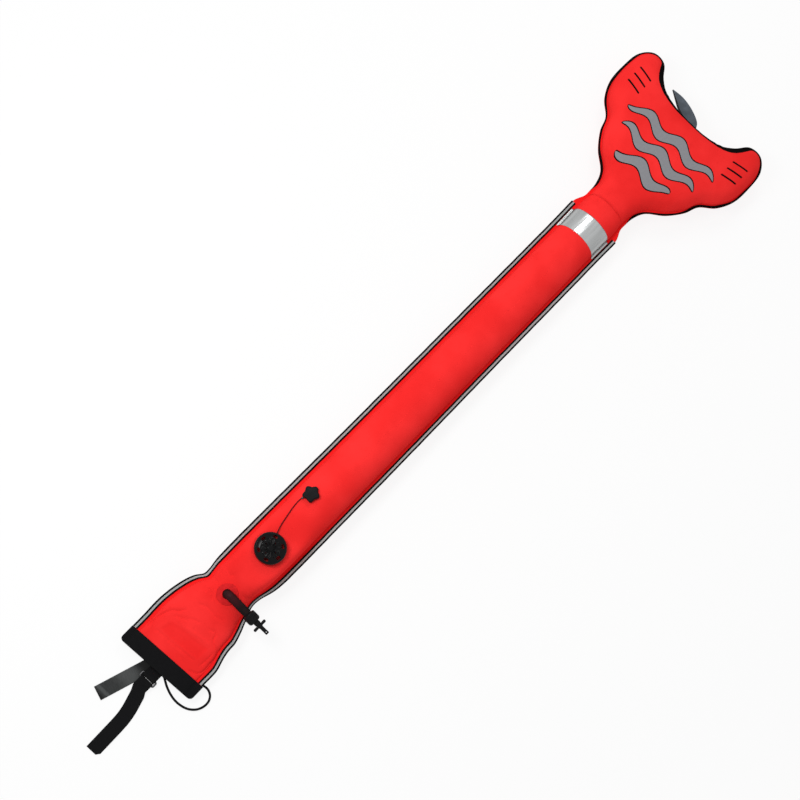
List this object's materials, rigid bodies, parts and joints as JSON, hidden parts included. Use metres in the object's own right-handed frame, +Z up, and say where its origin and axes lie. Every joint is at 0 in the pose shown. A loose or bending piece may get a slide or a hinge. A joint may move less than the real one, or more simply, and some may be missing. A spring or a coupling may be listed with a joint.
{
  "type": "surface marker buoy",
  "caption": "Inflated tube marker buoy with a wide T-shaped float, bound edges, dump valve, hose inflator, reflective band and an open mouth with webbing straps.",
  "frame": {"origin": "on the floor under the tube, halfway along the bag, where the tube's lowest flat rests", "axes": "+X along the tube towards the head, +Y to the left seen from above with the head ahead, +Z up"},
  "size_m": [1.594, 0.326, 0.0879],
  "materials": {
    "red_fabric": "coated satin nylon",
    "edge_tape": "folded woven tape",
    "black_binding": "matte woven binding",
    "black_webbing": "matte ribbed webbing",
    "gloss_strap": "glossy coated strap",
    "silver_band": "retroreflective satin film",
    "fin_fabric": "coated satin fabric",
    "baffle_film": "thin coated film",
    "patch_film": "welded satin film",
    "black_cord": "braided",
    "steel": "bright drawn wire",
    "black_plastic": "satin moulded",
    "red_plastic": "moulded",
    "black_rubber": "moulded satin",
    "soft_rubber": "matte"
  },
  "bodies": {
    "bag": {"back_panel": "red_fabric", "baffle_back": "baffle_film", "baffle_front": "baffle_film", "bungee_crimp": "steel", "bungee_loop": "black_cord", "front_panel": "red_fabric", "head_fin": "fin_fabric", "hem_band_back": "black_binding", "hem_band_front": "black_binding", "hem_tab": "black_webbing", "inflator_base_ring": "black_rubber", "inflator_body": "black_plastic", "inflator_hose": "black_rubber", "inflator_patch": "patch_film", "inflator_spring": "steel", "left_edge_trim": "edge_tape", "loop_strap": "gloss_strap", "reflective_band": "silver_band", "right_edge_trim": "edge_tape", "valve_base": "red_plastic", "valve_cap": "black_plastic", "valve_gasket": "soft_rubber", "valve_spring": "steel"},
    "dump_poppet": {"valve_poppet": "red_plastic", "valve_seal": "soft_rubber"},
    "dump_pull": {"pull_knob": "black_plastic", "cord_ferrule": "steel", "pull_cord": "black_cord"},
    "inflator_button": {"inflator_stem": "black_plastic", "inflator_poppet": "steel", "inflator_washer": "soft_rubber"},
    "inflator_lock": {"locking_collar": "black_plastic"},
    "ring": {"tail_ring": "steel"},
    "strap": {"tail_strap": "black_webbing"}
  },
  "joints": [
    {"name": "dump_pull", "type": "slide", "parent": "bag", "child": "dump_pull", "axis": [1, 0, 0], "range_m": [0, 0.003]},
    {"name": "dump_poppet_lift", "type": "slide", "parent": "bag", "child": "dump_poppet", "axis": [0, 0, 1], "range_m": [0, 0.003], "stiffness_N_per_m": 300, "deforming": ["valve_spring"]},
    {"name": "inflator_press", "type": "slide", "parent": "bag", "child": "inflator_button", "axis": [0, 1, 0], "range_m": [0, 0.003], "stiffness_N_per_m": 400, "deforming": ["inflator_spring"]},
    {"name": "inflator_lock_turn", "type": "hinge", "parent": "bag", "child": "inflator_lock", "pos_m": [-0.553, -0.0515, 0.05797], "axis": [0, 1, 0], "range_deg": [0, 90]},
    {"name": "ring_swing", "type": "hinge", "parent": "bag", "child": "ring", "pos_m": [-0.7325, 0, 0.0063], "axis": [0, 1, 0], "range_deg": [0, 60]},
    {"name": "strap_swing", "type": "hinge", "parent": "ring", "child": "strap", "pos_m": [-0.7415, 0, 0.0063], "axis": [0, 1, 0], "range_deg": [0, 60]}
  ],
  "couplings": [
    {"joint": "dump_poppet_lift", "follows": "dump_pull", "ratio": 1}
  ]
}
